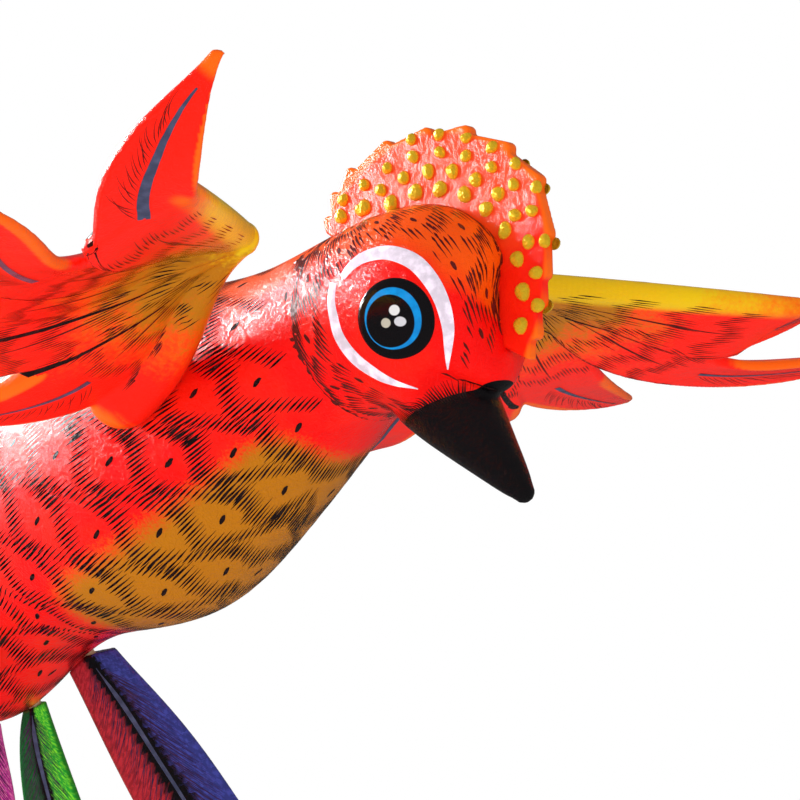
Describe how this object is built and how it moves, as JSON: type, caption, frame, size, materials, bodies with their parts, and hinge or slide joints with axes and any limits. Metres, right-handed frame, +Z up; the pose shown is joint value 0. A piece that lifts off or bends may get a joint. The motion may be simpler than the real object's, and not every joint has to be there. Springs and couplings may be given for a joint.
{
  "type": "alebrije figure",
  "caption": "Carved and painted wooden crested bird with plug-in wings and plug-in tail feathers that it stands on.",
  "frame": {"origin": "middle of the bounding box, on the ground under the tail feather tips", "axes": "+X the way the bird faces, +Y its left wing, +Z up"},
  "size_m": [0.223, 0.305, 0.2246],
  "materials": {
    "painted_body_wood": "hand-painted red over carved wood, glossy varnish",
    "painted_crest_wood": "hand-painted orange and red, glossy varnish",
    "gold_paint": "raised drops of metallic gold paint",
    "painted_wing_wood": "hand-painted yellow to orange red, glossy varnish",
    "painted_center_tail_wood": "hand-painted purple, glossy varnish",
    "painted_inner_tail_wood": "hand-painted green, glossy varnish",
    "painted_outer_tail_wood": "hand-painted red and blue, glossy varnish",
    "bare_wood": "plain, sanded"
  },
  "bodies": {
    "carved_body": {"body": "painted_body_wood", "crest": "painted_crest_wood", "crest_gold_drops_left": "gold_paint", "crest_gold_drops_right": "gold_paint"},
    "left_wing_body": {"left_wing": "painted_wing_wood", "left_wing_dowels": "bare_wood"},
    "right_wing_body": {"right_wing": "painted_wing_wood", "right_wing_dowels": "bare_wood"},
    "center_tail_body": {"tail_feather_center": "painted_center_tail_wood", "tail_dowel_center": "bare_wood"},
    "left_inner_tail_body": {"tail_feather_left_inner": "painted_inner_tail_wood", "tail_dowel_left_inner": "bare_wood"},
    "right_inner_tail_body": {"tail_feather_right_inner": "painted_inner_tail_wood", "tail_dowel_right_inner": "bare_wood"},
    "left_outer_tail_body": {"tail_feather_left_outer": "painted_outer_tail_wood", "tail_dowel_left_outer": "bare_wood"},
    "right_outer_tail_body": {"tail_feather_right_outer": "painted_outer_tail_wood", "tail_dowel_right_outer": "bare_wood"}
  },
  "joints": [
    {"name": "left_wing_pull", "type": "slide", "parent": "carved_body", "child": "left_wing_body", "axis": [0, 0.9397, 0.342], "range_m": [0, 0.025]},
    {"name": "right_wing_pull", "type": "slide", "parent": "carved_body", "child": "right_wing_body", "axis": [0, -0.9397, 0.342], "range_m": [0, 0.025]},
    {"name": "center_tail_pull", "type": "slide", "parent": "carved_body", "child": "center_tail_body", "axis": [-0.0454, 0, -0.999], "range_m": [0, 0.025]},
    {"name": "left_inner_tail_pull", "type": "slide", "parent": "carved_body", "child": "left_inner_tail_body", "axis": [-0.1399, 0.3105, -0.9402], "range_m": [0, 0.025]},
    {"name": "right_inner_tail_pull", "type": "slide", "parent": "carved_body", "child": "right_inner_tail_body", "axis": [-0.1399, -0.3105, -0.9402], "range_m": [0, 0.025]},
    {"name": "left_outer_tail_pull", "type": "slide", "parent": "carved_body", "child": "left_outer_tail_body", "axis": [0.318, 0.5052, -0.8023], "range_m": [0, 0.025]},
    {"name": "right_outer_tail_pull", "type": "slide", "parent": "carved_body", "child": "right_outer_tail_body", "axis": [0.318, -0.5052, -0.8023], "range_m": [0, 0.025]}
  ]
}
